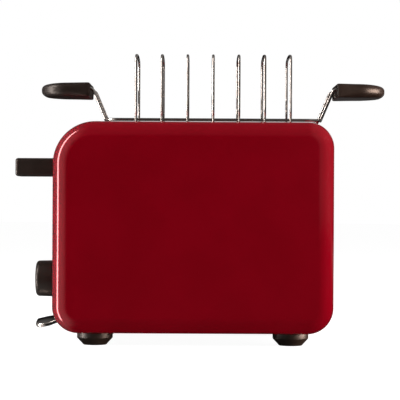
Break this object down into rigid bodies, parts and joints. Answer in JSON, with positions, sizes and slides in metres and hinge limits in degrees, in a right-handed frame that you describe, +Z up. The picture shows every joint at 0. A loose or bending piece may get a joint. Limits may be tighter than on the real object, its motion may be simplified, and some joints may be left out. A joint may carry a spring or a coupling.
{
  "type": "pop-up toaster",
  "caption": "Pop-up toaster with rounded red metal covers, two toast slots, a side lever, a browning knob, a crumb tray and a lift-off wire warming rack.",
  "frame": {"origin": "on the table, under the middle of the outline of the whole toaster with its rack", "axes": "+X from the lever end to the far end, +Y from front to back, +Z up"},
  "size_m": [0.3576, 0.18, 0.2777],
  "materials": {
    "red_enamel": "high gloss",
    "brushed_steel": "brushed",
    "sheet_steel": "mill",
    "plated_steel": "zinc plated",
    "chrome_wire": "polished",
    "chrome_pull": "polished",
    "dark_plastic": "satin",
    "dark_foot": "satin",
    "base_plastic": "fine grain",
    "mica": "flaky sheet",
    "heating_ribbon": "oxidised",
    "copper_coil": "enamelled wire",
    "circuit_board": "solder mask",
    "board_black": "moulded",
    "lamp_amber": "clear",
    "terminal_white": "glazed"
  },
  "bodies": {
    "housing": {"front_cover": "red_enamel", "rear_cover": "red_enamel", "lever_end_panel": "red_enamel", "far_end_panel": "red_enamel", "top_plate": "brushed_steel", "knob_collar": "brushed_steel", "chassis_lever_end": "sheet_steel", "chassis_far_end": "sheet_steel", "heat_shield_front": "sheet_steel", "heat_shield_rear": "sheet_steel", "foot_screws": "plated_steel", "base_screws": "plated_steel", "board_screws": "plated_steel", "guide_rod": "plated_steel", "magnet_yoke": "plated_steel", "return_spring": "plated_steel", "foot_front_lever_side": "dark_foot", "foot_front_far_side": "dark_foot", "foot_rear_lever_side": "dark_foot", "foot_rear_far_side": "dark_foot", "base_plate": "base_plastic", "cord_gland": "base_plastic", "gland_nut": "base_plastic", "heater_board_front": "mica", "heater_board_center": "mica", "heater_board_rear": "mica", "heater_ribbons": "heating_ribbon", "magnet_coils": "copper_coil", "control_board": "circuit_board", "board_parts": "board_black", "browning_potentiometer": "board_black", "indicator_lamps": "lamp_amber", "terminal_block": "terminal_white"},
    "carriage": {"carriage_bracket": "sheet_steel", "bread_rack_front": "sheet_steel", "bread_rack_rear": "sheet_steel", "armature_plate": "plated_steel", "lever_handle": "dark_plastic"},
    "guard_1": {"bread_guard_1": "sheet_steel"},
    "guard_2": {"bread_guard_2": "sheet_steel"},
    "guard_3": {"bread_guard_3": "sheet_steel"},
    "guard_4": {"bread_guard_4": "sheet_steel"},
    "knob": {"browning_knob": "dark_plastic", "knob_shaft": "plated_steel"},
    "cancel": {"cancel_button": "dark_plastic"},
    "reheat": {"reheat_button": "dark_plastic"},
    "defrost": {"defrost_button": "dark_plastic"},
    "tray": {"crumb_tray": "sheet_steel", "tray_pull": "chrome_pull", "tray_rivets": "plated_steel"},
    "warming_rack": {"rack_frame": "chrome_wire", "rack_fins": "chrome_wire", "rack_handle_lever_side": "dark_plastic", "rack_handle_far_side": "dark_plastic"}
  },
  "joints": [
    {"name": "carriage_lift", "type": "slide", "parent": "housing", "child": "carriage", "axis": [0, 0, 1], "range_m": [-0.062, 0.012], "stiffness_N_per_m": 120, "springref_m": 0.01334, "deforming": ["return_spring"]},
    {"name": "guard_1_swing", "type": "hinge", "parent": "housing", "child": "guard_1", "pos_m": [0.01225, -0.0323, 0.0437], "axis": [1, 0, 0], "range_deg": [-2.5, 0.6]},
    {"name": "guard_2_swing", "type": "hinge", "parent": "housing", "child": "guard_2", "pos_m": [0.01225, -0.0077, 0.0437], "axis": [1, 0, 0], "range_deg": [-0.6, 2.5]},
    {"name": "guard_3_swing", "type": "hinge", "parent": "housing", "child": "guard_3", "pos_m": [0.01225, 0.0077, 0.0437], "axis": [1, 0, 0], "range_deg": [-2.5, 0.6]},
    {"name": "guard_4_swing", "type": "hinge", "parent": "housing", "child": "guard_4", "pos_m": [0.01225, 0.0323, 0.0437], "axis": [1, 0, 0], "range_deg": [-0.6, 2.5]},
    {"name": "browning_turn", "type": "hinge", "parent": "housing", "child": "knob", "pos_m": [-0.145, 0, 0.059], "axis": [1, 0, 0], "range_deg": [-135, 135]},
    {"name": "cancel_press", "type": "slide", "parent": "housing", "child": "cancel", "axis": [1, 0, 0], "range_m": [0, 0.001], "stiffness_N_per_m": 300, "springref_m": -0.001},
    {"name": "reheat_press", "type": "slide", "parent": "housing", "child": "reheat", "axis": [1, 0, 0], "range_m": [0, 0.001], "stiffness_N_per_m": 300, "springref_m": -0.001},
    {"name": "defrost_press", "type": "slide", "parent": "housing", "child": "defrost", "axis": [1, 0, 0], "range_m": [0, 0.001], "stiffness_N_per_m": 300, "springref_m": -0.001},
    {"name": "tray_slide", "type": "slide", "parent": "housing", "child": "tray", "axis": [-1, 0, 0], "range_m": [0, 0.2]},
    {"name": "rack_lift", "type": "slide", "parent": "housing", "child": "warming_rack", "axis": [0, 0, 1], "range_m": [0, 0.08]}
  ],
  "couplings": [
    {"joint": "guard_1_swing", "follows": "carriage_lift", "rad_per_m": 0.676},
    {"joint": "guard_2_swing", "follows": "carriage_lift", "rad_per_m": -0.676},
    {"joint": "guard_3_swing", "follows": "carriage_lift", "rad_per_m": 0.676},
    {"joint": "guard_4_swing", "follows": "carriage_lift", "rad_per_m": -0.676}
  ]
}
